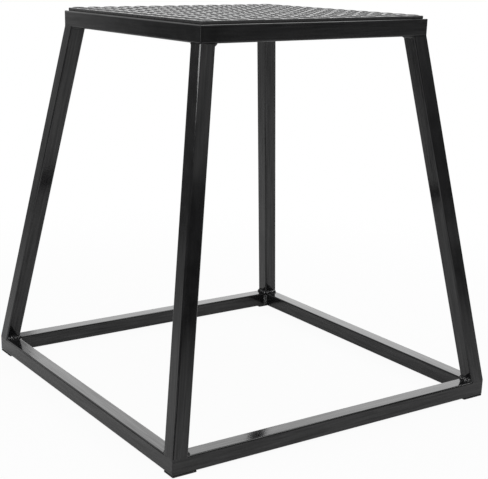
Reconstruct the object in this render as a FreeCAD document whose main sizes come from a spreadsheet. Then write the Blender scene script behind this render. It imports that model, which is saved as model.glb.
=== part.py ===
"""Steel plyo box: a welded frame of square tube that carries a deck plate and a rubber tread mat.

Millimetres. +Z is up, and the origin is on the floor under the middle of the box. The front faces -Y and
the left side faces -X.
"""
import FreeCAD
import Part
import Sketcher

import os
import re

# Driving dimensions: name, value and what it measures
SIZES = [
    ("box_height", 609.6, "floor to the top of the tread"),
    ("base_side", 602.6, "outside of the base ring"),
    ("top_side", 412.4, "outside of the top ring"),
    ("tube_side", 25.4, "outside of the square tube"),
    ("tube_wall", 2, "wall of the tube"),
    ("tube_corner", 2.5, "outer corner radius of the tube"),
    ("bore_corner", 0.8, "inner corner radius of the tube"),
    ("foot_setback", 0.35, "leg's sides in from the base ring's sides, at the foot"),
    ("head_setback", 0.2, "leg's sides in from the top ring's sides, at the head"),
    ("deck_thick", 2, "deck plate"),
    ("deck_gap", 0.3, "deck plate's edge to the mat's lip"),
    ("mat_margin", 4.5, "mat's edge in from the top ring's sides"),
    ("mat_thick", 4.5, "mat without its lozenges, over the top ring"),
    ("mat_corner", 4, "corner radius of the mat"),
    ("mat_bevel", 0.8, "bevel round the mat's upper edge"),
    ("mat_lip", 3, "lip of the mat round the deck plate's edge"),
    ("tread_pitch", 28.9, "step between lozenges of one lean"),
    ("tread_border", 4, "smooth border of the mat"),
    ("lozenge_length", 26, "long diagonal of a lozenge"),
    ("lozenge_width", 8, "short diagonal of a lozenge"),
    ("lozenge_rise", 1.5, "height of a lozenge over the mat"),
    ("lozenge_draft", 40, "degrees that a lozenge's flanks lean in"),
    ("pad_length", 40, "foot pad, along its rail"),
    ("pad_thick", 2.4, "foot pad"),
    ("pad_inset", 0.4, "foot pad in from the tube's sides"),
    ("pad_corner", 1.5, "corner radius of a foot pad"),
    ("weld_size", 6, "leg length of a weld bead"),
    ("stitch_length", 30, "stitch weld under the deck plate"),
    ("stitch_pitch", 110, "step between stitch welds"),
    ("overrun", 5, "how far a cut runs past what it cuts"),
]

# Places and sizes that follow from the driving dimensions
FRAME_TOP = "(box_height - lozenge_rise - mat_thick)"
BASE_TOP = "(pad_thick + tube_side)"
HEAD_LEVEL = f"({FRAME_TOP} - tube_side)"
FOOT_CENTRE = "((base_side - tube_side) / 2 - foot_setback)"
HEAD_CENTRE = "((top_side - tube_side) / 2 - head_setback)"
LEG_RUN = f"({FOOT_CENTRE} - {HEAD_CENTRE})"
LEG_RISE = f"({HEAD_LEVEL} - {BASE_TOP})"
LEG_LEAN = f"atan(sqrt(2) * {LEG_RUN} / {LEG_RISE})"
LEG_BLANK_LENGTH = f"(sqrt({LEG_RISE}^2 + 2 * {LEG_RUN}^2) + 2 * tube_side)"
MAT_SIDE = "(top_side - 2 * mat_margin)"
POCKET_SIDE = f"({MAT_SIDE} - 2 * mat_lip)"
POCKET_CORNER = "max(mat_corner - mat_lip; bore_corner)"
DECK_SIDE = f"({POCKET_SIDE} - 2 * deck_gap)"
LOZENGE_SPAN = "(max(lozenge_length; lozenge_width) * sqrt(0.5))"
LOZENGE_DEPTH = "(lozenge_length * lozenge_width / sqrt(lozenge_length^2 + lozenge_width^2) / 2)"
LOZENGE_INSET = "(lozenge_rise * tan(lozenge_draft))"
TREAD_ROWS = f"(floor(({MAT_SIDE} - 2 * tread_border - {LOZENGE_SPAN}) / tread_pitch) + 1)"
PAD_WIDTH = "(tube_side - 2 * pad_inset)"
BEAD_LENGTH = "(tube_side - 2 * tube_corner)"

# The four corners as seen from the front, with the signs of their X and Y
CORNERS = [("front_left", -1, -1), ("front_right", 1, -1), ("back_right", 1, 1), ("back_left", -1, 1)]
# The four sides with their outward directions and quarter turns from the front
SIDES = [("front", (0, -1), 0), ("right", (1, 0), 90), ("back", (0, 1), 180), ("left", (-1, 0), 270)]
# This corner's foot pad lies along the left rail; the others lie along the front and back rails
PAD_ALONG_LEFT_RAIL = "back_left"

doc = FreeCAD.newDocument("PlyoBox")
sheet = doc.addObject("Spreadsheet::Sheet", "Sizes")
for row, (alias, amount, meaning) in enumerate(SIZES, start=1):
    sheet.set(f"A{row}", meaning)
    sheet.set(f"B{row}", str(amount))
    sheet.setAlias(f"B{row}", alias)
doc.recompute()

ALIASES = re.compile(r"\b(" + "|".join(alias for alias, _, _ in SIZES) + r")\b")
UP = FreeCAD.Vector(0, 0, 1)
# How near two lengths, and the cosine of the angle between two directions, count as the same
CLOSE = 1e-6
nodes = []


def formula(text):
    """A formula in the names of the sizes, spelt as an expression of the document."""
    return ALIASES.sub(r"Sizes.\1", text)


def bind(thing, prop, text):
    thing.setExpression(prop, formula(text))


def value_of(text):
    return float(sheet.evalExpression(formula(text)))


def place(thing, x, y, z, rotation=FreeCAD.Rotation()):
    """Turns a thing, then binds the place of its origin to three formulas."""
    thing.Placement = FreeCAD.Placement(FreeCAD.Vector(), rotation)
    for axis, text in (("x", x), ("y", y), ("z", z)):
        bind(thing, f"Placement.Base.{axis}", text)


def keep(thing, label):
    """Names a finished sub-part and puts it on the list of nodes."""
    thing.Label = label
    nodes.append(thing)
    return thing


def origin_feature(body, role):
    return next(feature for feature in body.Origin.OriginFeatures if feature.Role == role)


def new_sketch(body, role):
    sketch = body.newObject("Sketcher::SketchObject", "Sketch")
    sketch.AttachmentSupport = [(origin_feature(body, role), "")]
    sketch.MapMode = "FlatFace"
    return sketch


def draw_outline(sketch, corners):
    """Adds a closed outline whose corners are pairs of formulas."""
    points = [FreeCAD.Vector(value_of(x), value_of(y), 0) for x, y in corners]
    first = sketch.GeometryCount
    for here, there in zip(points, points[1:] + points[:1]):
        sketch.addGeometry(Part.LineSegment(here, there), False)
    for step in range(len(points)):
        following = first + (step + 1) % len(points)
        sketch.addConstraint(Sketcher.Constraint("Coincident", first + step, 2, following, 1))
    for step, (point, texts) in enumerate(zip(points, corners)):
        for kind, amount, text in (("DistanceX", point.x, texts[0]), ("DistanceY", point.y, texts[1])):
            index = sketch.addConstraint(Sketcher.Constraint(kind, -1, 1, first + step, 1, amount))
            bind(sketch, f"Constraints[{index}]", text)


def draw_rectangle(sketch, length, width):
    """Adds a rectangle about the sketch's origin."""
    x, y = f"({length}) / 2", f"({width}) / 2"
    draw_outline(sketch, [(f"-{x}", f"-{y}"), (x, f"-{y}"), (x, y), (f"-{x}", y)])


def pad(body, sketch, length, symmetric=False):
    feature = body.newObject("PartDesign::Pad", "Pad")
    feature.Profile = sketch
    feature.SideType = "Symmetric" if symmetric else "One side"
    bind(feature, "Length", length)
    doc.recompute()
    return feature


def fillet(body, base, edges, radius):
    feature = body.newObject("PartDesign::Fillet", "Fillet")
    feature.Base = (base, edges)
    bind(feature, "Radius", radius)
    doc.recompute()
    return feature


def edges_where(shape, test):
    return [f"Edge{number}" for number, edge in enumerate(shape.Edges, start=1) if test(edge)]


def runs_along(edge, axis):
    way = edge.Vertexes[-1].Point - edge.Vertexes[0].Point
    return way.Length > CLOSE and abs(way.normalize().dot(axis)) > 1 - CLOSE


def lies_at_height(edge, height):
    return all(abs(vertex.Z - height) < CLOSE for vertex in edge.Vertexes)


def corner_edges(shape, axis, side):
    """The edges along axis at the corners of a square of that side about it."""
    reach = value_of(f"{side} * sqrt(0.5)")

    def at_corner(edge):
        spot = edge.Vertexes[0].Point
        off_axis = spot - axis * spot.dot(axis)
        return runs_along(edge, axis) and abs(off_axis.Length - reach) < CLOSE

    return edges_where(shape, at_corner)


def prism(label, length, width, height, corner):
    """An upright block about its own origin, with its four upright edges rounded."""
    body = doc.addObject("PartDesign::Body", label)
    sketch = new_sketch(body, "XY_Plane")
    draw_rectangle(sketch, length, width)
    block = pad(body, sketch, height)
    fillet(body, block, edges_where(block.Shape, lambda edge: runs_along(edge, UP)), corner)
    return body


def box(length, width, height, x, y, z):
    """A plain block with its lowest corner at x, y, z."""
    block = doc.addObject("Part::Box", "Block")
    for prop, text in (("Length", length), ("Width", width), ("Height", height)):
        bind(block, prop, text)
    place(block, x, y, z)
    return block


def joined(kind, base, tool):
    """A boolean of two objects."""
    feature = doc.addObject(kind, "Joined")
    feature.Base = base
    feature.Tool = tool
    return feature


def group(things):
    compound = doc.addObject("Part::Compound", "Group")
    compound.Links = things
    return compound


def tube(name, role, axis, length):
    """A square tube with rounded corners, centred on its own origin and lying along axis."""
    bore_side = "(tube_side - 2 * tube_wall)"
    body = doc.addObject("PartDesign::Body", name)
    sketch = new_sketch(body, role)
    draw_rectangle(sketch, "tube_side", "tube_side")
    draw_rectangle(sketch, bore_side, bore_side)
    feature = pad(body, sketch, length, symmetric=True)
    feature = fillet(body, feature, corner_edges(feature.Shape, axis, "tube_side"), "tube_corner")
    fillet(body, feature, corner_edges(feature.Shape, axis, bore_side), "bore_corner")
    return body


def mitred_rail(name, side):
    """A rail of a ring in the front's place, along X, with 45 degree mitres at both ends."""
    body = tube(name, "YZ_Plane", FreeCAD.Vector(1, 0, 0), side)
    whole = body.Shape.Volume
    sketch = new_sketch(body, "XY_Plane")
    tip, root = f"({side} / 2 + overrun)", f"({side} / 2 - tube_side - overrun)"
    out, back = "-(tube_side / 2 + overrun)", "(tube_side / 2 + overrun)"
    draw_outline(sketch, [(tip, out), (tip, back), (root, back)])
    draw_outline(sketch, [(f"-{tip}", out), (f"-{root}", back), (f"-{tip}", back)])
    pocket = body.newObject("PartDesign::Pocket", "Mitres")
    pocket.Profile = sketch
    pocket.SideType = "Symmetric"
    bind(pocket, "Length", "tube_side + 2 * overrun")
    doc.recompute()
    if not body.Shape.Volume < whole:
        raise RuntimeError(f"the mitres of {name} cut nothing")
    return body


def ring(name, side, level):
    """Four mitred rails whose outer corners are dressed round; returns the ring's outer envelope."""
    envelope = prism(f"{name}_envelope", side, side, "tube_side", "tube_corner")
    place(envelope, "0", "0", level)
    for side_name, (out_x, out_y), turn in SIDES:
        rail = mitred_rail(f"{name}_rail_{side_name}_mitred", side)
        reach = f"({side} - tube_side) / 2"
        rotation = FreeCAD.Rotation(UP, turn)
        place(rail, f"{out_x} * {reach}", f"{out_y} * {reach}", f"{level} + tube_side / 2", rotation)
        keep(joined("Part::Common", rail, envelope), f"{name}_rail_{side_name}")
    return envelope


def lean_in(thing, sign_x, sign_y):
    """Lays a thing that stands about its own origin along the line of one leg."""
    middle = f"({FOOT_CENTRE} + {HEAD_CENTRE}) / 2"
    rotation = FreeCAD.Rotation(FreeCAD.Vector(sign_y, -sign_x, 0), value_of(LEG_LEAN))
    level = f"({BASE_TOP} + {HEAD_LEVEL}) / 2"
    place(thing, f"{sign_x} * {middle}", f"{sign_y} * {middle}", level, rotation)
    bind(thing, "Placement.Rotation.Angle", LEG_LEAN)


def legs():
    """Four tubes that lean in along the diagonals, with both ends cut level.

    Returns their outer forms, as solid bars, for the welds to be cut by.
    """
    level_cut = box("base_side", "base_side", LEG_RISE, "-base_side / 2", "-base_side / 2", BASE_TOP)
    bars = []
    for corner_name, sign_x, sign_y in CORNERS:
        blank = tube(f"leg_{corner_name}_blank", "XY_Plane", UP, LEG_BLANK_LENGTH)
        lean_in(blank, sign_x, sign_y)
        keep(joined("Part::Common", blank, level_cut), f"leg_{corner_name}")
        bar = doc.addObject("PartDesign::Body", f"leg_{corner_name}_bar")
        sketch = new_sketch(bar, "XY_Plane")
        draw_rectangle(sketch, "tube_side", "tube_side")
        pad(bar, sketch, LEG_BLANK_LENGTH, symmetric=True)
        lean_in(bar, sign_x, sign_y)
        bars.append(bar)
    return group(bars)


def quarter_bead(length, radius, across, upright, x, y, z):
    """A quarter-round weld bead centred on x, y, z, that fills the corner between two directions."""
    bead = doc.addObject("Part::Cylinder", "Bead")
    bind(bead, "Radius", radius)
    bind(bead, "Height", length)
    bead.Angle = 90
    along = across.cross(upright)
    starts = [f"{text} - ({along[index]}) * ({length}) / 2" for index, text in enumerate((x, y, z))]
    place(bead, *starts, FreeCAD.Rotation(across, upright, along, "XYZ"))
    return bead


def leg_end_welds(label, leg_bars, envelope, side, level, face, centre, upright):
    """Welds round one end of each leg: beads on its two inner sides, flush fills on its outer sides.

    The fills take up the grooves that the ring's rounded edges leave under the legs' outer sides.
    """
    beads = []
    for _, sign_x, sign_y in CORNERS:
        inner = f"({centre} - (tube_side - tube_wall) / 2)"
        size = "weld_size + tube_wall / 2"
        across_x = FreeCAD.Vector(-sign_x, 0, 0)
        across_y = FreeCAD.Vector(0, -sign_y, 0)
        near, far = f"{sign_x} * {inner}", f"{sign_y} * {centre}"
        beads.append(quarter_bead(BEAD_LENGTH, size, across_x, upright, near, far, face))
        near, far = f"{sign_y} * {inner}", f"{sign_x} * {centre}"
        beads.append(quarter_bead(BEAD_LENGTH, size, across_y, upright, far, near, face))
    outside_legs = joined("Part::Cut", group(beads), leg_bars)

    softened = doc.addObject("PartDesign::Body", "Softened")
    sketch = new_sketch(softened, "XY_Plane")
    draw_rectangle(sketch, side, side)
    block = pad(softened, sketch, "tube_side")
    height = value_of("tube_side") if upright.z > 0 else 0
    rim = edges_where(block.Shape, lambda edge: lies_at_height(edge, height))
    fillet(softened, block, rim, "tube_corner")
    place(softened, "0", "0", level)
    grooves = joined("Part::Cut", envelope, softened)
    corner_blocks = []
    for _, sign_x, sign_y in CORNERS:
        x, y = (f"{sign} * ({side} - tube_side) / 2 - tube_side / 2" for sign in (sign_x, sign_y))
        corner_blocks.append(box("tube_side", "tube_side", "tube_side", x, y, level))
    fills = joined("Part::Common", grooves, group(corner_blocks))
    keep(group([outside_legs, fills]), label)


def ring_corner_welds(label, side, level):
    """Upright beads in the four inner corners of a ring."""
    beads = []
    for _, sign_x, sign_y in CORNERS:
        across, along = FreeCAD.Vector(-sign_x, 0, 0), FreeCAD.Vector(0, -sign_y, 0)
        if across.cross(along).z < 0:
            across, along = along, across
        reach = f"({side} / 2 - tube_side)"
        middle = f"{level} + tube_side / 2"
        x, y = f"{sign_x} * {reach}", f"{sign_y} * {reach}"
        beads.append(quarter_bead(BEAD_LENGTH, "weld_size", across, along, x, y, middle))
    keep(group(beads), label)


def deck_stitch_welds():
    """Short beads under the deck plate, along the inner sides of the top ring."""
    beads = []
    for _, (out_x, out_y), _ in SIDES:
        inward = FreeCAD.Vector(-out_x, -out_y, 0)
        reach = "(top_side / 2 - tube_side)"
        for step in (-1, 0, 1):
            x = f"{out_x} * {reach} + {abs(out_y) * step} * stitch_pitch"
            y = f"{out_y} * {reach} + {abs(out_x) * step} * stitch_pitch"
            beads.append(quarter_bead("stitch_length", "weld_size", inward, -UP, x, y, FRAME_TOP))
    keep(group(beads), "deck_stitch_welds")


def deck_plate():
    """The steel plate that spans the top ring, held inside the mat's lip."""
    corner = f"max({POCKET_CORNER} - deck_gap; bore_corner)"
    plate = prism("deck_plate", DECK_SIDE, DECK_SIDE, "deck_thick", corner)
    place(plate, "0", "0", FRAME_TOP)
    keep(plate, "deck_plate")


def lozenge(turn):
    """One raised lozenge on the origin, its long diagonal turned from X, with flanks that lean in."""
    length, width, rise = (value_of(name) for name in ("lozenge_length", "lozenge_width", "lozenge_rise"))
    shrink_share = 1 - value_of(f"{LOZENGE_INSET} / {LOZENGE_DEPTH}")
    rims = []
    for share, height in ((1, 0), (shrink_share, rise)):
        x, y = share * length / 2, share * width / 2
        corners = [(x, 0), (0, y), (-x, 0), (0, -y), (x, 0)]
        rims.append(Part.makePolygon([FreeCAD.Vector(*corner, height) for corner in corners]))
    solid = Part.makeLoft(rims, True, True)
    solid.rotate(FreeCAD.Vector(), UP, turn)
    return solid


def lozenge_field():
    """All the lozenges: rows of one lean, and between them rows of the other, one fewer each way."""
    pitch, height = value_of("tread_pitch"), value_of("mat_thick")
    most_rows = round(value_of(TREAD_ROWS))
    solids = []
    for rows, turn in ((most_rows, -45), (most_rows - 1, 45)):
        one = lozenge(turn)
        steps = [(index - (rows - 1) / 2) * pitch for index in range(rows)]
        solids += [one.translated(FreeCAD.Vector(x, y, height)) for x in steps for y in steps]
    return solids


def tread_mat():
    """The moulded mat: bevelled, with a pocket for the deck plate and a field of lozenges."""
    body = prism("tread_mat_blank", MAT_SIDE, MAT_SIDE, "mat_thick", "mat_corner")
    block = body.Tip
    bevel = body.newObject("PartDesign::Chamfer", "Bevel")
    top = value_of("mat_thick")
    bevel.Base = (block, edges_where(block.Shape, lambda edge: lies_at_height(edge, top)))
    bind(bevel, "Size", "mat_bevel")
    doc.recompute()
    whole = body.Shape.Volume
    sketch = new_sketch(body, "XY_Plane")
    draw_rectangle(sketch, POCKET_SIDE, POCKET_SIDE)
    pocket = body.newObject("PartDesign::Pocket", "DeckPocket")
    pocket.Profile = sketch
    pocket.Reversed = True
    bind(pocket, "Length", "deck_thick")
    doc.recompute()
    if not body.Shape.Volume < whole:
        raise RuntimeError("the deck pocket cuts nothing")
    fillet(body, pocket, corner_edges(pocket.Shape, UP, POCKET_SIDE), POCKET_CORNER)
    mat = doc.addObject("Part::Feature", "TreadMat")
    mat.Shape = body.Shape.multiFuse(lozenge_field())
    place(mat, "0", "0", FRAME_TOP)
    keep(mat, "tread_mat")


def foot_pads():
    """A thin pad under each corner of the base ring, along one of its rails."""
    for corner_name, sign_x, sign_y in CORNERS:
        sizes = ("pad_length", PAD_WIDTH)
        if corner_name == PAD_ALONG_LEFT_RAIL:
            sizes = (PAD_WIDTH, "pad_length")
        label = f"foot_pad_{corner_name}"
        body = prism(label, *sizes, "pad_thick", "pad_corner")
        x, y = (f"(base_side / 2 - pad_inset - {size} / 2)" for size in sizes)
        place(body, f"{sign_x} * {x}", f"{sign_y} * {y}", "0")
        keep(body, label)


def check_document():
    """Stops where an object failed or a sub-part has no sound solid."""
    for thing in doc.Objects:
        if "Invalid" in thing.State or "Error" in thing.State:
            raise RuntimeError(f"{thing.Name} ({thing.Label}) failed: {thing.State}")
    for thing in nodes:
        if thing.Shape.isNull() or not thing.Shape.isValid() or not thing.Shape.Solids:
            raise RuntimeError(f"{thing.Label} has no sound shape")


base_envelope = ring("base", "base_side", "pad_thick")
top_envelope = ring("top", "top_side", HEAD_LEVEL)
leg_bars = legs()
leg_end_welds("leg_foot_welds", leg_bars, base_envelope, "base_side", "pad_thick", BASE_TOP, FOOT_CENTRE, UP)
leg_end_welds("leg_head_welds", leg_bars, top_envelope, "top_side", HEAD_LEVEL, HEAD_LEVEL, HEAD_CENTRE, -UP)
ring_corner_welds("base_corner_welds", "base_side", "pad_thick")
ring_corner_welds("top_corner_welds", "top_side", HEAD_LEVEL)
deck_plate()
deck_stitch_welds()
tread_mat()
foot_pads()
doc.recompute()
check_document()

os.makedirs("parts", exist_ok=True)
for thing in nodes:
    thing.Shape.exportStep(f"parts/{thing.Label}.step")
    solids = thing.Shape.Solids
    print(f"{thing.Label}: {len(solids)} solids, {sum(solid.Volume for solid in solids):.1f} mm3")
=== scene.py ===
"""Looks of the steel plyo box: powder-coated tubes, weld beads, a moulded tread mat and rubber foot pads.

Metres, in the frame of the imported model: +Z is up, the floor is at zero, the front faces -Y and the left
side faces -X.
"""

import math

import bpy
from mathutils import Matrix, Vector, noise


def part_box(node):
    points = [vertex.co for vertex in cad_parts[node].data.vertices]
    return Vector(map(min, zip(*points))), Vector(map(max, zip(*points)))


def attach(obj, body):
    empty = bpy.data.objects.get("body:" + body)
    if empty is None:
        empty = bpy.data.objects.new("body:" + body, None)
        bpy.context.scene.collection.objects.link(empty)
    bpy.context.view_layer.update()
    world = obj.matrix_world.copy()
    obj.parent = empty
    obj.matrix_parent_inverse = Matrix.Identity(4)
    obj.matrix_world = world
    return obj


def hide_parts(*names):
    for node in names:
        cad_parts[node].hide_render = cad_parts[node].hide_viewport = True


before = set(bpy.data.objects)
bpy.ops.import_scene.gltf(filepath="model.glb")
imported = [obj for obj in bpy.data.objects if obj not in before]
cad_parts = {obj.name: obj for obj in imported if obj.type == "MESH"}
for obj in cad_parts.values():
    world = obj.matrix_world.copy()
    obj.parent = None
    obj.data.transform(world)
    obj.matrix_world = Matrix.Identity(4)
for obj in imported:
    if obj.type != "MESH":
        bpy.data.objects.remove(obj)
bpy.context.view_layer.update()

MM = 0.001

# Sizes and levels that the frame gives
base_low, base_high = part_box("base_rail_front")
top_low, top_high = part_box("top_rail_front")
mat_low, mat_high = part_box("tread_mat")
_, deck_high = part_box("deck_plate")
TUBE = base_high.z - base_low.z
BASE_HALF = -base_low.y
BASE_BOTTOM, BASE_TOP = base_low.z, base_high.z
TOP_HALF = -top_low.y
HEAD_LEVEL, FRAME_TOP = top_low.z, top_high.z
MAT_HALF = mat_high.x
DECK_TOP = deck_high.z

# How far the tread's lozenges rise over the mat's plate
LOZENGE_RISE = 1.5 * MM
PLATE_TOP = mat_high.z - LOZENGE_RISE

# The tube's rounding, and the places of the legs on the base ring and under the top ring
TUBE_CORNER = 2.5 * MM
FOOT_SETBACK, HEAD_SETBACK = 0.35 * MM, 0.2 * MM
FOOT_CENTRE = BASE_HALF - TUBE / 2 - FOOT_SETBACK
HEAD_CENTRE = TOP_HALF - TUBE / 2 - HEAD_SETBACK
LEAN = (FOOT_CENTRE - HEAD_CENTRE) / (HEAD_LEVEL - BASE_TOP)
# How much a level cut through a leg, which leans along the diagonal, skews each of its sides
TWIST = (math.sqrt(1 + 2 * LEAN ** 2) - 1) / 2

CORNERS = {"front_left": (-1, -1), "front_right": (1, -1), "back_right": (1, 1), "back_left": (-1, 1)}
SIDES = {"front": (0, -1), "right": (1, 0), "back": (0, 1), "left": (-1, 0)}

# The photograph's camera
PHOTO_SIZE = (488, 479)
FOCAL_PIXELS = 1098.37
PRINCIPAL_PIXEL = (180.81, 307.9)
CAMERA_PLACE = (-1.02347, -1.47508, 0.69201)
CAMERA_YAW, CAMERA_PITCH, CAMERA_ROLL = 31.9607, 17.8188, 0.681
SENSOR_WIDTH = 36


# Materials

# The finishes' noises: cells a metre, and detail
PAINT_PATCHES, PAINT_STREAKS, PAINT_PEEL = (45, 3), (380, 2), (750, 1)
RUBBER_CLOUDS, RUBBER_SHEEN, RUBBER_GRAIN = (70, 4), (220, 3), (1400, 2)
# The part of its range that most of a noise lies in
NOISE_SPAN = (0.3, 0.7)
# The finishes' relief: depth, and strength
STREAK_RELIEF, PEEL_RELIEF, GRAIN_RELIEF = (0.05 * MM, 0.7), (0.02 * MM, 0.6), (0.06 * MM, 0.5)

PAINT_DARK, PAINT_PALE = (0.0045, 0.0045, 0.0048), (0.0085, 0.0085, 0.009)
PAINT_ROUGHNESS, PAINT_GLOSS, PAINT_IOR = (0.09, 0.13), (0.36, 0.64), 1.5
PAD_DARK, PAD_PALE = (0.012, 0.012, 0.012), (0.02, 0.02, 0.02)
PAD_ROUGHNESS, PAD_IOR = (0.6, 0.75), 1.5
# The mat's rubber, and its paler colour on the plate between the lozenges, which is dust and painted sheen
MAT_WORN, MAT_DUST_AND_SHEEN = (0.032, 0.032, 0.0325), (0.055, 0.055, 0.056)
MAT_ROUGHNESS, MAT_IOR = (0.25, 0.32), 1.36
# The mat's dust and painted sheen: how far over the plate they thin out, how far under the plate's top they
# begin, their shares
DUST_SHEEN_HIGH, DUST_SHEEN_LOW = 0.6 * MM, 0.4 * MM
DUST_SHEEN_SHARES = (0.6, 1)

# The grain of the paint, drawn out along one axis
GRAIN_SCALE = 0.04
ALONG_X, ALONG_Y, ALONG_Z = (GRAIN_SCALE, 1, 1), (1, GRAIN_SCALE, 1), (1, 1, GRAIN_SCALE)
NO_GRAIN = (1, 1, 1)


class Shader:
    """A principled material and the few node links that the finishes here need."""

    def __init__(self, name):
        self.material = bpy.data.materials.new(name)
        self.material.use_nodes = True
        self.tree = self.material.node_tree
        self.surface = self.tree.nodes["Principled BSDF"]
        self.place = self.tree.nodes.new("ShaderNodeTexCoord").outputs["Object"]

    def link(self, output, node, socket):
        self.tree.links.new(output, node.inputs[socket])

    def feed(self, output, socket):
        """Links an output to the surface itself."""
        self.link(output, self.surface, socket)

    def noise(self, kind, stretch=NO_GRAIN):
        """Noise of one kind, its cells a metre and its detail, drawn out along the axes."""
        mapping = self.tree.nodes.new("ShaderNodeMapping")
        mapping.inputs["Scale"].default_value = stretch
        self.link(self.place, mapping, "Vector")
        texture = self.tree.nodes.new("ShaderNodeTexNoise")
        texture.inputs["Scale"].default_value, texture.inputs["Detail"].default_value = kind
        self.link(mapping.outputs["Vector"], texture, "Vector")
        return texture.outputs["Fac"]

    def ranged(self, value, levels, span=NOISE_SPAN):
        """A value brought from a span to two levels."""
        node = self.tree.nodes.new("ShaderNodeMapRange")
        for socket, amount in zip(("From Min", "From Max", "To Min", "To Max"), (*span, *levels)):
            node.inputs[socket].default_value = amount
        self.link(value, node, "Value")
        return node.outputs["Result"]

    def blend(self, share, first, second):
        """A colour between two others."""
        node = self.tree.nodes.new("ShaderNodeMix")
        node.data_type = "RGBA"
        node.inputs["A"].default_value = (*first, 1)
        node.inputs["B"].default_value = (*second, 1)
        self.link(share, node, "Factor")
        return node.outputs["Result"]

    def height(self):
        """How high over the floor a point of the surface is."""
        split = self.tree.nodes.new("ShaderNodeSeparateXYZ")
        self.link(self.place, split, "Vector")
        return split.outputs["Z"]

    def shear(self, slopes):
        """Shears the coordinates sideways with height, so that a grain runs along a leaning tube."""
        node = self.tree.nodes.new("ShaderNodeVectorMath")
        node.operation = "MULTIPLY_ADD"
        self.link(self.height(), node, 0)
        node.inputs[1].default_value = (*slopes, 0)
        self.link(self.place, node, 2)
        self.place = node.outputs["Vector"]

    def product(self, first, second):
        """Two values multiplied."""
        node = self.tree.nodes.new("ShaderNodeMath")
        node.operation = "MULTIPLY"
        self.link(first, node, 0)
        self.link(second, node, 1)
        return node.outputs["Value"]

    def bump(self, height, relief, under=None):
        """A relief of some depth and strength, over another one if there is one."""
        node = self.tree.nodes.new("ShaderNodeBump")
        node.inputs["Distance"].default_value, node.inputs["Strength"].default_value = relief
        self.link(height, node, "Height")
        if under:
            self.link(under, node, "Normal")
        return node.outputs["Normal"]


def powder_coat(name, grain, slopes=(0, 0)):
    """Black semi-gloss powder coat with orange peel, over a tube drawn along the grain's long axis."""
    shader = Shader(name)
    shader.shear(slopes)
    patches = shader.noise(PAINT_PATCHES)
    shader.feed(shader.blend(shader.ranged(patches, (0, 1)), PAINT_DARK, PAINT_PALE), "Base Color")
    shader.feed(shader.ranged(patches, PAINT_ROUGHNESS), "Roughness")
    streaks = shader.noise(PAINT_STREAKS, grain)
    shader.feed(shader.ranged(streaks, PAINT_GLOSS), "Specular IOR Level")
    drawn = shader.bump(streaks, STREAK_RELIEF)
    shader.feed(shader.bump(shader.noise(PAINT_PEEL), PEEL_RELIEF, drawn), "Normal")
    shader.surface.inputs["IOR"].default_value = PAINT_IOR
    return shader.material


def rubber(shader, pale_share, dark, pale, roughness, ior):
    """Finishes a shader as moulded rubber with a fine grain, paler by a share: a cloudy whitish film on the
    pads, dust and painted sheen on the mat.
    """
    shader.feed(shader.blend(pale_share, dark, pale), "Base Color")
    shader.feed(shader.ranged(shader.noise(RUBBER_SHEEN), roughness), "Roughness")
    shader.feed(shader.bump(shader.noise(RUBBER_GRAIN), GRAIN_RELIEF), "Normal")
    shader.surface.inputs["IOR"].default_value = ior
    return shader.material


def tread_rubber(name):
    """The mat's rubber, paler on the plate between the lozenges: dust, and painted sheen for the plate's
    grazing reflection.
    """
    shader = Shader(name)
    height = shader.height()
    # Paler on the plate between the lozenges: dust, and painted sheen standing in for the grazing
    # reflection there
    below = shader.ranged(height, (0, 1), (PLATE_TOP - DUST_SHEEN_LOW, PLATE_TOP))
    above = shader.ranged(height, (1, 0), (PLATE_TOP, PLATE_TOP + DUST_SHEEN_HIGH))
    cloud = shader.ranged(shader.noise(RUBBER_CLOUDS), DUST_SHEEN_SHARES)
    dust_and_sheen = shader.product(shader.product(below, above), cloud)
    return rubber(shader, dust_and_sheen, MAT_WORN, MAT_DUST_AND_SHEEN, MAT_ROUGHNESS, MAT_IOR)


def plain_rubber(name):
    """The pads' rubber, with a faint cloudy whitish film."""
    shader = Shader(name)
    cloud = shader.ranged(shader.noise(RUBBER_CLOUDS), (0, 1))
    return rubber(shader, cloud, PAD_DARK, PAD_PALE, PAD_ROUGHNESS, PAD_IOR)


paint_x = powder_coat("powder_coat_rails_x", ALONG_X)
paint_y = powder_coat("powder_coat_rails_y", ALONG_Y)
paint_legs = {f"leg_{corner_name}": powder_coat(f"powder_coat_leg_{corner_name}", ALONG_Z,
                                                (sign_x * LEAN, sign_y * LEAN))
              for corner_name, (sign_x, sign_y) in CORNERS.items()}
paint_plain = powder_coat("powder_coat_plain", NO_GRAIN)
mat_rubber = tread_rubber("mat_rubber_moulded")
pad_rubber = plain_rubber("pad_rubber_moulded")


# Meshes

# Angles in degrees over which an edge is shaded sharp
SHARP_ANGLE, MAT_SHARP_ANGLE = 60, 45
# Steps round a corner of a rounded square
CORNER_STEPS = 6


def make_piece(name, parts, material, nodes, sharp=SHARP_ANGLE):
    """One piece from several closed parts, each a pair of points and faces, in place of CAD nodes."""
    points, faces = [], []
    for part_points, part_faces in parts:
        first = len(points)
        points += [tuple(point) for point in part_points]
        faces += [[first + index for index in face] for face in part_faces]
    mesh = bpy.data.meshes.new(name)
    mesh.from_pydata(points, [], faces)
    mesh.validate()
    mesh.shade_smooth()
    mesh.set_sharp_from_angle(angle=math.radians(sharp))
    mesh.materials.append(material)
    piece = bpy.data.objects.new(name, mesh)
    bpy.context.scene.collection.objects.link(piece)
    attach(piece, "root")
    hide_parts(*nodes)


def loft(rings):
    """Points and faces of a closed skin over rings of as many points each, with the ends filled."""
    count = len(rings[0])
    points = [point for ring in rings for point in ring]
    faces = []
    for step in range(len(rings) - 1):
        near, far = step * count, (step + 1) * count
        for index in range(count):
            following = (index + 1) % count
            faces.append([near + index, near + following, far + following, far + index])
    faces.append(list(range(count))[::-1])
    faces.append([(len(rings) - 1) * count + index for index in range(count)])
    return points, faces


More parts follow.
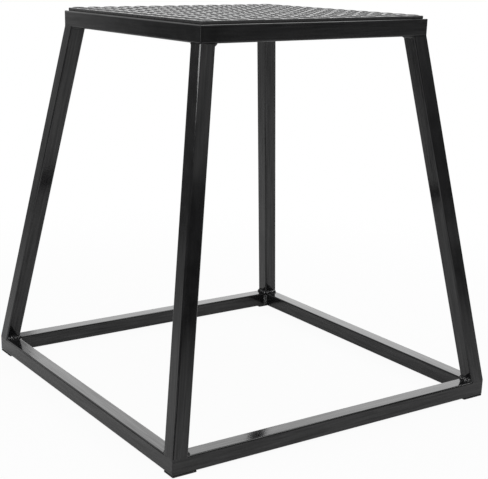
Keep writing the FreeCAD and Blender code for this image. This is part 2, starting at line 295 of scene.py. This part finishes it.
def rounded_square(half_x, half_y, corner, height):
    """The points of a rectangle with round corners about the origin, at one height."""
    points = []
    for quarter, (sign_x, sign_y) in enumerate([(1, 1), (-1, 1), (-1, -1), (1, -1)]):
        for step in range(CORNER_STEPS + 1):
            angle = math.radians(90 * (quarter + step / CORNER_STEPS))
            x = sign_x * (half_x - corner) + corner * math.cos(angle)
            y = sign_y * (half_y - corner) + corner * math.sin(angle)
            points.append((x, y, height))
    return points


# The tread mat

MAT_CORNER = 4 * MM
MAT_LIP = 3 * MM
# The mat's edge, from its foot up and in: shares of its inset and of its rise
EDGE_INSET, EDGE_RISE = 0.8 * MM, PLATE_TOP - mat_low.z
EDGE_SHARES = [(0.3, 0), (0, 0.06), (0, 0.84), (0.12, 0.92), (0.5, 0.98), (1, 1), (2.5, 1)]
# The tread: rows of lozenges of one lean, with one row less of the other lean between them
TREAD_PITCH = 28.9 * MM
TREAD_ROWS, TREAD_TURN = 14, 45
LOZENGE_LENGTH, LOZENGE_WIDTH = 26 * MM, 8 * MM
# Points round a lozenge, and how much its sides are drawn in towards its tips
LOZENGE_POINTS, LOZENGE_TAPER = 28, 1.35
# A lozenge, from its skirt up and in: shares of its outline and of its rise
LOZENGE_SHARES = [(1.1, -0.05), (1, 0.03), (0.92, 0.26), (0.8, 0.54), (0.62, 0.8), (0.38, 0.95), (0.14, 1)]


def mat_plate():
    """The mat without its tread: a plate with a soft bevel and a pocket for the deck plate."""
    def outline(inset, height):
        return rounded_square(MAT_HALF - inset, MAT_HALF - inset, MAT_CORNER - inset, height)

    rings = [outline(MAT_LIP, DECK_TOP), outline(MAT_LIP, mat_low.z)]
    for inset_share, rise_share in EDGE_SHARES:
        rings.append(outline(inset_share * EDGE_INSET, mat_low.z + rise_share * EDGE_RISE))
    return loft(rings)


def lozenge_outline():
    """A slim lens with blunt tips, as shares of half its length and half its width."""
    outline = []
    for step in range(LOZENGE_POINTS):
        angle = 2 * math.pi * step / LOZENGE_POINTS
        along, across = math.cos(angle), math.sin(angle)
        outline.append((along, math.copysign(abs(across) ** LOZENGE_TAPER, across)))
    return outline


def lozenge(x, y, turn):
    """One raised lozenge of the tread, its skirt sunk in the plate."""
    rotation = Matrix.Rotation(math.radians(turn), 2)
    rings = []
    for outline_share, rise_share in LOZENGE_SHARES:
        ring = []
        for along, across in lozenge_outline():
            spot = outline_share * Vector((along * LOZENGE_LENGTH, across * LOZENGE_WIDTH)) / 2
            spot.rotate(rotation)
            ring.append((x + spot.x, y + spot.y, PLATE_TOP + rise_share * LOZENGE_RISE))
        rings.append(ring)
    return loft(rings)


def tread_mat():
    """The mat with its tread."""
    parts = [mat_plate()]
    for rows, turn in ((TREAD_ROWS, -TREAD_TURN), (TREAD_ROWS - 1, TREAD_TURN)):
        steps = [(row - (rows - 1) / 2) * TREAD_PITCH for row in range(rows)]
        parts += [lozenge(x, y, turn) for x in steps for y in steps]
    make_piece("tread_mat_moulded", parts, mat_rubber, ["tread_mat"], sharp=MAT_SHARP_ANGLE)


# Weld beads

BEAD_SIZE, SMALL_BEAD_SIZE = 6 * MM, 4 * MM
# The welds at the legs' feet are all alike; those at the heads are smaller, but for one
FOOT_BEAD_SIZES = dict.fromkeys(CORNERS, BEAD_SIZE)
HEAD_BEAD_SIZES = {**dict.fromkeys(CORNERS, SMALL_BEAD_SIZE), "front_left": BEAD_SIZE}
# A bead is a row of rings: their spacing and least number, and the steps of the arc of each, in degrees
RING_STEP, FEWEST_RINGS = 0.45 * MM, 8
BEAD_STEPS = 14
ARC_START, ARC_END = -6, 96
# How far a bead's root is sunk in the corner that it fills, and the length of its round ends to its size
BEAD_ROOT = 0.6 * MM
ROUND_END_SHARE = 0.55
# Ripples: their pitch, how far they sweep back at the belly, how much they wander, and how round they are
RIPPLE_PITCH = 3.4 * MM
RIPPLE_SWEEP, RIPPLE_WANDER, RIPPLE_POWER = 0.5, 0.45, 0.7
# Lengths along the bead over which its width wanders and its lumps come and go
WANDER_LENGTH, LUMP_LENGTH = 6 * MM, 2.6 * MM
WANDER_SEED_STEP, LUMP_SEED_STEP, LUMP_TURN = 7.3, 3.1, 1.8
# How far out a bead reaches: how full its belly is, and its plain share with what varies
BELLY_SHARE = 0.28
PLAIN_SHARE, RIPPLE_SHARE, WANDER_SHARE, LUMP_SHARE = 0.76, 0.17, 0.16, 0.11
LEAST_REACH = 0.05 * MM
# Numbers that keep the beads from being alike
FOOT_SEED, HEAD_SEED, SECOND_SIDE_SEED = 1, 11, 5.5
BASE_CORNER_SEED, TOP_CORNER_SEED, STITCH_SEED = 21, 31, 40


def bead(start, end, out, up, seed, size=BEAD_SIZE):
    """A lumpy fillet bead from start to end, in the corner between the directions out and up."""
    start, end, out, up = Vector(start), Vector(end), Vector(out).normalized(), Vector(up).normalized()
    length = (end - start).length
    way = (end - start).normalized()
    count = max(FEWEST_RINGS, round(length / RING_STEP))
    rings = []
    for step in range(count + 1):
        along = length * step / count
        spot = start + way * along
        from_end = min(along, length - along)
        ends = math.sqrt(max(0.0, 1 - max(0.0, 1 - from_end / (ROUND_END_SHARE * size)) ** 2))
        wander = noise.noise(Vector((along / WANDER_LENGTH, seed * WANDER_SEED_STEP, 0)))
        ring = []
        for turn in range(BEAD_STEPS + 1):
            angle = math.radians(ARC_START + (ARC_END - ARC_START) * turn / BEAD_STEPS)
            belly = math.sin(2 * angle)
            phase = (along + RIPPLE_SWEEP * RIPPLE_PITCH * belly) / RIPPLE_PITCH + RIPPLE_WANDER * wander
            ripple = abs(math.sin(math.pi * phase)) ** RIPPLE_POWER
            lumps = noise.noise(Vector((along / LUMP_LENGTH, seed * LUMP_SEED_STEP, angle * LUMP_TURN)))
            reach = size / (abs(math.cos(angle)) + abs(math.sin(angle))) * (1 + BELLY_SHARE * max(0, belly))
            reach *= PLAIN_SHARE + RIPPLE_SHARE * ripple + WANDER_SHARE * wander + LUMP_SHARE * lumps
            reach = max(reach * ends, LEAST_REACH)
            ring.append(spot + out * (reach * math.cos(angle)) + up * (reach * math.sin(angle)))
        ring.append(spot - (out + up) * BEAD_ROOT)
        rings.append(ring)
    if way.dot(out.cross(up)) < 0:
        rings.reverse()
    return loft(rings)


# The dressed joints: their toe and sunk edge on the ring and the leg, how far they stand off the steel,
# and how far from a leg's inner edges they start
DRESSED_TOE, DRESSED_SINK = 0.1 * MM, 1.5 * MM
DRESSED_SKIN = 0.003 * MM
DRESSED_START = 1.2 * MM
# The half height of the bend at a foot and the least height of its end, and half the fairing at a head
FOOT_BEND, FOOT_END = 0.9 * MM, 0.6 * MM
HEAD_FAIRING = 1.1 * MM
# Steps along a leg's side, round its corner, and up a joint
SIDE_STEPS, BEND_STEPS, PROFILE_STEPS = 12, 8, 8


def outer_path(half, setback):
    """Points along a leg's two outer sides and the corner between, on the ring's outline.

    Each has its outward direction, and how far the leg's side stands proud of the ring's side there.
    """
    path = []
    straight = TUBE - TUBE_CORNER - DRESSED_START
    for step in range(SIDE_STEPS + 1):
        along = straight * (step / SIDE_STEPS - 1) + TUBE / 2 - TUBE_CORNER
        spot = half - TUBE / 2 + along
        path.append(((spot, half), (0, 1), TWIST * (TUBE / 2 + along) - setback))
    for step in range(1, BEND_STEPS):
        angle = math.radians(90 - 90 * step / BEND_STEPS)
        way = (math.cos(angle), math.sin(angle))
        sway = sum(way)
        proud = (TWIST * (TUBE - 2 * TUBE_CORNER) - setback) * sway + TWIST * TUBE_CORNER * sway ** 2
        path.append((tuple(half - TUBE_CORNER * (1 - share) for share in way), way, proud))
    mirrored = [((y, x), (out_y, out_x), proud) for (x, y), (out_x, out_y), proud in path[:SIDE_STEPS + 1]]
    return path + mirrored[::-1]


def foot_profile(lean, proud):
    """Out and up from the ring's upper edge: flush with the ring, then bent back into the leg's lean."""
    meet = proud / lean
    profile = [(-DRESSED_SINK, -TUBE_CORNER - DRESSED_TOE), (-DRESSED_SKIN, -TUBE_CORNER - DRESSED_TOE)]
    for step in range(PROFILE_STEPS + 1):
        rise = meet + FOOT_BEND * (2 * step / PROFILE_STEPS - 1)
        drop = lean * (rise - meet + FOOT_BEND) ** 2 / (4 * FOOT_BEND)
        profile.append((-DRESSED_SKIN - drop, rise))
    last = max(FOOT_END, profile[-1][1] + DRESSED_TOE)
    return profile + [(proud - lean * last, last), (-DRESSED_SINK, last)]


def head_profile(lean, proud):
    """Out and down from the ring's lower edge: a hollow fairing from the ring's side to the leg's."""
    profile = [(-DRESSED_SINK, -HEAD_FAIRING)]
    for step in range(PROFILE_STEPS + 1):
        fall = HEAD_FAIRING * (2 * step / PROFILE_STEPS - 1)
        share = (fall + HEAD_FAIRING) / (2 * HEAD_FAIRING)
        profile.append((DRESSED_SKIN + lean * HEAD_FAIRING * share ** 2 + proud * share, fall))
    return profile + [(-DRESSED_SINK, HEAD_FAIRING)]


def dressed_joint(sign_x, sign_y, half, level, way_up, setback):
    """The ground-smooth weld over a leg's two outer sides, flush with the ring and faired into the leg."""
    rings = []
    for (x, y), (out_x, out_y), proud in outer_path(half, setback):
        lean = LEAN * (out_x + out_y)
        profile = foot_profile(lean, proud) if way_up > 0 else head_profile(lean, proud)
        rings.append([(sign_x * (x + out_x * out), sign_y * (y + out_y * out), level + way_up * rise)
                      for out, rise in profile])
    if sign_x * sign_y * way_up > 0:
        rings.reverse()
    return loft(rings)


# How far a leg's beads stand off its sides, run past its inner corner, and stop short of its outer sides
BEAD_STANDOFF, BEAD_OVERRUN, BEAD_SHORTFALL = 0.15 * MM, 1 * MM, 1.4 * MM


def leg_welds(centre, half, level, way_up, setback, sizes, first_seed):
    """Two inner beads and one dressed outer joint at one end of each leg."""
    parts = []
    inner = centre - TUBE / 2 - BEAD_STANDOFF
    near, far = centre - TUBE / 2 - BEAD_OVERRUN, centre + TUBE / 2 - BEAD_SHORTFALL
    for seed, (corner_name, (sign_x, sign_y)) in enumerate(CORNERS.items(), start=first_seed):
        size = sizes[corner_name]
        up_x = Vector((-sign_x * LEAN, 0, 1)) * way_up
        up_y = Vector((0, -sign_y * LEAN, 1)) * way_up
        parts.append(bead((sign_x * inner, sign_y * near, level), (sign_x * inner, sign_y * far, level),
                          (-sign_x, 0, 0), up_x, seed, size))
        parts.append(bead((sign_x * near, sign_y * inner, level), (sign_x * far, sign_y * inner, level),
                          (0, -sign_y, 0), up_y, seed + SECOND_SIDE_SEED, size))
        parts.append(dressed_joint(sign_x, sign_y, half, level, way_up, setback))
    return parts


# How far the upright beads stop short of a ring's top and bottom
UPRIGHT_SHORTFALL = 0.6 * TUBE_CORNER


def ring_corner_welds(half, bottom, top, first_seed):
    """Upright beads in the inner corners of a ring."""
    inner = half - TUBE
    low, high = bottom + UPRIGHT_SHORTFALL, top - UPRIGHT_SHORTFALL
    return [bead((sign_x * inner, sign_y * inner, low), (sign_x * inner, sign_y * inner, high),
                 (-sign_x, 0, 0), (0, -sign_y, 0), seed)
            for seed, (sign_x, sign_y) in enumerate(CORNERS.values(), start=first_seed)]


# The stitches on each side of the deck plate, in pitches from the side's middle
STITCH_LENGTH, STITCH_PITCH = 30 * MM, 110 * MM
STITCH_STEPS = (-1, 0, 1)


def deck_stitches():
    """Short beads under the deck plate along the top ring's inner sides."""
    parts = []
    inner = TOP_HALF - TUBE
    for side, (out_x, out_y) in enumerate(SIDES.values()):
        along = Vector((abs(out_y), abs(out_x), 0))
        half = along * (STITCH_LENGTH / 2)
        for step in STITCH_STEPS:
            middle = Vector((out_x * inner, out_y * inner, FRAME_TOP)) + along * (step * STITCH_PITCH)
            seed = STITCH_SEED + len(STITCH_STEPS) * side + step
            parts.append(bead(middle - half, middle + half, (-out_x, -out_y, 0), (0, 0, -1), seed))
    return parts


def weld_piece(place, parts):
    """All the beads of one place, in the paint of the frame."""
    make_piece(f"{place}_weld_beads", parts, paint_plain, [f"{place}_welds"])


# Foot pads

PAD_EDGE, PAD_CORNER = 0.5 * MM, 1.5 * MM
# A pad's side, from the floor up: insets in shares of its edge, and shares of its height
PAD_SHARES = [(1.2, 0), (0.45, 0.02), (0.15, 0.12), (0.02, 0.3), (0, 0.5), (0.02, 0.7), (0.15, 0.88),
              (0.45, 0.98), (1.2, 1)]


def foot_pad(corner_name):
    """A thin rubber pad with rounded edges and slightly bulged sides."""
    node = f"foot_pad_{corner_name}"
    low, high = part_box(node)
    middle = (low + high) / 2
    half_x, half_y = (high.x - low.x) / 2, (high.y - low.y) / 2
    rise = high.z - low.z
    rings = []
    for inset_share, height_share in PAD_SHARES:
        inset = inset_share * PAD_EDGE
        ring = rounded_square(half_x - inset, half_y - inset, PAD_CORNER, low.z + height_share * rise)
        rings.append([(middle.x + x, middle.y + y, z) for x, y, z in ring])
    make_piece(f"{node}_rubber", [loft(rings)], pad_rubber, [node])


def dress_frame():
    """Gives every tube and the deck plate its paint."""
    for node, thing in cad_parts.items():
        paint = paint_legs.get(node, paint_plain)
        if "rail_front" in node or "rail_back" in node:
            paint = paint_x
        elif "rail_" in node:
            paint = paint_y
        for holder in thing.material_slots:
            holder.material = paint


# The stage

# What the paint mirrors of the studio's walls: levels by azimuth, in degrees from the back to the right
WALL_LEVELS = [(-180, 0.12), (-140, 0.06), (-105, 0.06), (-70, 0.15), (-29.8, 0.13), (-26.3, 0.53),
               (-20, 0.56), (10, 0.38), (30, 0.4), (45, 0.5), (60, 0.45), (100, 0.1), (122, 0.1),
               (136, 0.15), (148, 0.055), (158, 0.15), (172, 0.1), (180, 0.12)]
# How many times brighter the studio is at heights over the horizon, in degrees, up to its ceiling
HEIGHT_GAINS = [(0, 0.95), (2, 1.15), (4, 1), (6.5, 1.05), (11, 2.1), (16, 1.75), (40, 1.7), (90, 1.3)]
FLOOR_REACH = 4.5
# The floor's colour is paler towards the back left than towards the front right: painted light, for a floor
# lit more brightly there
FLOOR_PAINTED_LIGHT_WAY = (-0.6, 0.8, 0)
FLOOR_PAINTED_LIGHT_RANGE, FLOOR_ALBEDOS = (-0.8, 0.4), (0.51, 0.61)
# Radii between which the floor goes over into plain white, and its white shares near and far
WHITE_NEAR, WHITE_FAR = 0.5, 1.4
SEEN_WHITE_SHARES = (0.94, 1)
MIRRORED_WHITE_SHARES = (0.22, 0)
# Softboxes: name, azimuth and height in degrees from the aim, distance, width and height, brightness
LAMP_AIM = (0, 0, 0.3)
SOFTBOXES = [
    ("backdrop", 44.5, 17, 3.2, (3.05, 2.0), 1.3),
    ("key", 105, 57, 2.6, (0.9, 0.7), 4.0),
    ("overhead", 180, 84, 1.9, (1.7, 1.7), 1.6),
    ("fill", 190, 45, 2.6, (1.0, 0.8), 3.0),
    ("side", 95, 28, 2.8, (1.4, 1.0), 6.0),
    ("shoulder", -122, 28, 2.9, (4.6, 0.5), 8.5),
    ("window", 153, 13, 3.5, (1.2, 0.8), 0.42),
    ("low_strip", 141, 0, 4.2, (1.3, 0.1), 0.32),
    ("low_edge", -122, 0.7, 4.2, (1.5, 0.12), 3.0),
]


class NodeGraph:
    """Short forms for the node trees of the floor and the world."""

    def __init__(self, holder):
        holder.use_nodes = True
        self.nodes, self.link = holder.node_tree.nodes, holder.node_tree.links.new

    def math(self, operation, *values):
        """A math node of sockets and plain numbers."""
        node = self.nodes.new("ShaderNodeMath")
        node.operation = operation
        for socket, value in zip(node.inputs, values):
            if isinstance(value, (int, float)):
                socket.default_value = value
            else:
                self.link(value, socket)
        return node.outputs["Value"]

    def curve(self, value, stops):
        """A value read off a line through stops of a position and a level each."""
        start, end = stops[0][0], stops[-1][0]
        place = self.math("DIVIDE", self.math("SUBTRACT", value, start), end - start)
        most = max(level for _, level in stops)
        ramp = self.nodes.new("ShaderNodeValToRGB")
        while len(ramp.color_ramp.elements) < len(stops):
            ramp.color_ramp.elements.new(0.5)
        for element, (position, level) in zip(ramp.color_ramp.elements, stops):
            element.position = (position - start) / (end - start)
            element.color = (*[level / most] * 3, 1)
        self.link(place, ramp.inputs["Fac"])
        return self.math("MULTIPLY", ramp.outputs["Color"], most)

    def eased(self, value, span, levels):
        """A value brought from a span to two levels, with soft ends."""
        node = self.nodes.new("ShaderNodeMapRange")
        node.interpolation_type = "SMOOTHSTEP"
        for socket, amount in zip(("From Min", "From Max", "To Min", "To Max"), (*span, *levels)):
            node.inputs[socket].default_value = amount
        self.link(value, node.inputs["Value"])
        return node.outputs["Result"]

    def mixed(self, share, first, second):
        """A shader between two others."""
        node = self.nodes.new("ShaderNodeMixShader")
        self.link(share, node.inputs["Fac"])
        self.link(first, node.inputs[1])
        self.link(second, node.inputs[2])
        return node.outputs["Shader"]


def add_floor():
    """A pale floor, lit by the lamps and whitened where the camera sees it, more so far from the object.

    From below it is clear, so that the box can be seen from there too.
    """
    mesh = bpy.data.meshes.new("floor")
    corners = [(-1, -1), (1, -1), (1, 1), (-1, 1)]
    mesh.from_pydata([(x * FLOOR_REACH, y * FLOOR_REACH, 0) for x, y in corners], [], [(0, 1, 2, 3)])
    floor = bpy.data.objects.new("floor", mesh)
    bpy.context.scene.collection.objects.link(floor)
    material = bpy.data.materials.new("floor_white")
    graph = NodeGraph(material)
    graph.nodes.remove(graph.nodes["Principled BSDF"])
    lit = graph.nodes.new("ShaderNodeBsdfDiffuse")
    white = graph.nodes.new("ShaderNodeEmission")
    path = graph.nodes.new("ShaderNodeLightPath").outputs
    radius = graph.nodes.new("ShaderNodeVectorMath")
    radius.operation = "LENGTH"
    geometry = graph.nodes.new("ShaderNodeNewGeometry").outputs
    graph.link(geometry["Position"], radius.inputs[0])

    # The floor's colour paler towards the back left: painted light, for a floor lit more brightly there
    slope = graph.nodes.new("ShaderNodeVectorMath")
    slope.operation = "DOT_PRODUCT"
    graph.link(geometry["Position"], slope.inputs[0])
    slope.inputs[1].default_value = FLOOR_PAINTED_LIGHT_WAY
    graph.link(graph.eased(slope.outputs["Value"], FLOOR_PAINTED_LIGHT_RANGE, FLOOR_ALBEDOS), lit.inputs["Color"])

    def white_share(shares):
        return graph.eased(radius.outputs["Value"], (WHITE_NEAR, WHITE_FAR), shares)

    seen = graph.math("ADD", path["Is Camera Ray"], path["Is Transmission Ray"])
    share = graph.math("MULTIPLY", seen, white_share(SEEN_WHITE_SHARES))
    mirrored = graph.math("MULTIPLY", path["Is Glossy Ray"], white_share(MIRRORED_WHITE_SHARES))
    pale = graph.mixed(graph.math("ADD", share, mirrored), lit.outputs["BSDF"], white.outputs["Emission"])
    clear = graph.nodes.new("ShaderNodeBsdfTransparent")
    surface = graph.mixed(geometry["Backfacing"], pale, clear.outputs["BSDF"])
    graph.link(surface, graph.nodes["Material Output"].inputs["Surface"])
    mesh.materials.append(material)


def add_world():
    """White where the camera sees it; for the lighting, studio walls of uneven brightness."""
    world = bpy.data.worlds.new("studio")
    bpy.context.scene.world = world
    graph = NodeGraph(world)
    split = graph.nodes.new("ShaderNodeSeparateXYZ")
    graph.link(graph.nodes.new("ShaderNodeTexCoord").outputs["Generated"], split.inputs["Vector"])
    azimuth = graph.math("DEGREES", graph.math("ARCTAN2", split.outputs["X"], split.outputs["Y"]))
    height = graph.math("DEGREES", graph.math("ARCSINE", split.outputs["Z"]))
    level = graph.math("MULTIPLY", graph.curve(azimuth, WALL_LEVELS), graph.curve(height, HEIGHT_GAINS))
    studio = graph.nodes["Background"]
    studio.inputs["Color"].default_value = (1, 1, 1, 1)
    graph.link(level, studio.inputs["Strength"])
    white = graph.nodes.new("ShaderNodeBackground")
    white.inputs["Color"].default_value = (1, 1, 1, 1)
    seen = graph.nodes.new("ShaderNodeLightPath").outputs["Is Camera Ray"]
    surface = graph.mixed(seen, studio.outputs["Background"], white.outputs["Background"])
    graph.link(surface, graph.nodes["World Output"].inputs["Surface"])


def add_softbox(name, azimuth, height, distance, size, level):
    """A rectangular lamp of one level of brightness all over, placed by its angles and facing the box."""
    lamp = bpy.data.lights.new(name, "AREA")
    lamp.shape = "RECTANGLE"
    lamp.size, lamp.size_y = size
    lamp.energy = level * math.pi * size[0] * size[1]
    softbox = bpy.data.objects.new(name, lamp)
    bpy.context.scene.collection.objects.link(softbox)
    turn, rise = math.radians(azimuth), math.radians(height)
    way = Vector((math.sin(turn) * math.cos(rise), math.cos(turn) * math.cos(rise), math.sin(rise)))
    softbox.location = Vector(LAMP_AIM) + distance * way
    softbox.rotation_euler = (-way).to_track_quat("-Z", "Y").to_euler()
    softbox.visible_camera = False


def add_camera():
    """The photograph's camera, its frame shifted to where the photograph's lies."""
    yaw, pitch, roll = (math.radians(angle) for angle in (CAMERA_YAW, CAMERA_PITCH, CAMERA_ROLL))
    ahead = Vector((math.sin(yaw) * math.cos(pitch), math.cos(yaw) * math.cos(pitch), -math.sin(pitch)))
    level_right = ahead.cross(Vector((0, 0, 1))).normalized()
    level_up = level_right.cross(ahead)
    right = math.cos(roll) * level_right + math.sin(roll) * level_up
    up = -math.sin(roll) * level_right + math.cos(roll) * level_up
    data = bpy.data.cameras.new("camera")
    data.sensor_width = SENSOR_WIDTH
    width, height = PHOTO_SIZE
    data.lens = FOCAL_PIXELS * SENSOR_WIDTH / width
    data.shift_x = (width / 2 - PRINCIPAL_PIXEL[0]) / width
    data.shift_y = (PRINCIPAL_PIXEL[1] - height / 2) / width
    camera = bpy.data.objects.new("camera", data)
    bpy.context.scene.collection.objects.link(camera)
    turn = Matrix((right, up, -ahead)).transposed().to_4x4()
    camera.matrix_world = Matrix.Translation(CAMERA_PLACE) @ turn
    bpy.context.scene.camera = camera


dress_frame()
tread_mat()
weld_piece("leg_foot",
           leg_welds(FOOT_CENTRE, BASE_HALF, BASE_TOP, 1, FOOT_SETBACK, FOOT_BEAD_SIZES, FOOT_SEED))
weld_piece("leg_head",
           leg_welds(HEAD_CENTRE, TOP_HALF, HEAD_LEVEL, -1, HEAD_SETBACK, HEAD_BEAD_SIZES, HEAD_SEED))
weld_piece("base_corner", ring_corner_welds(BASE_HALF, BASE_BOTTOM, BASE_TOP, BASE_CORNER_SEED))
weld_piece("top_corner", ring_corner_welds(TOP_HALF, HEAD_LEVEL, FRAME_TOP, TOP_CORNER_SEED))
weld_piece("deck_stitch", deck_stitches())
for corner_name in CORNERS:
    foot_pad(corner_name)
add_floor()
add_world()
for softbox in SOFTBOXES:
    add_softbox(*softbox)
add_camera()
bpy.context.scene.view_settings.view_transform = "Standard"
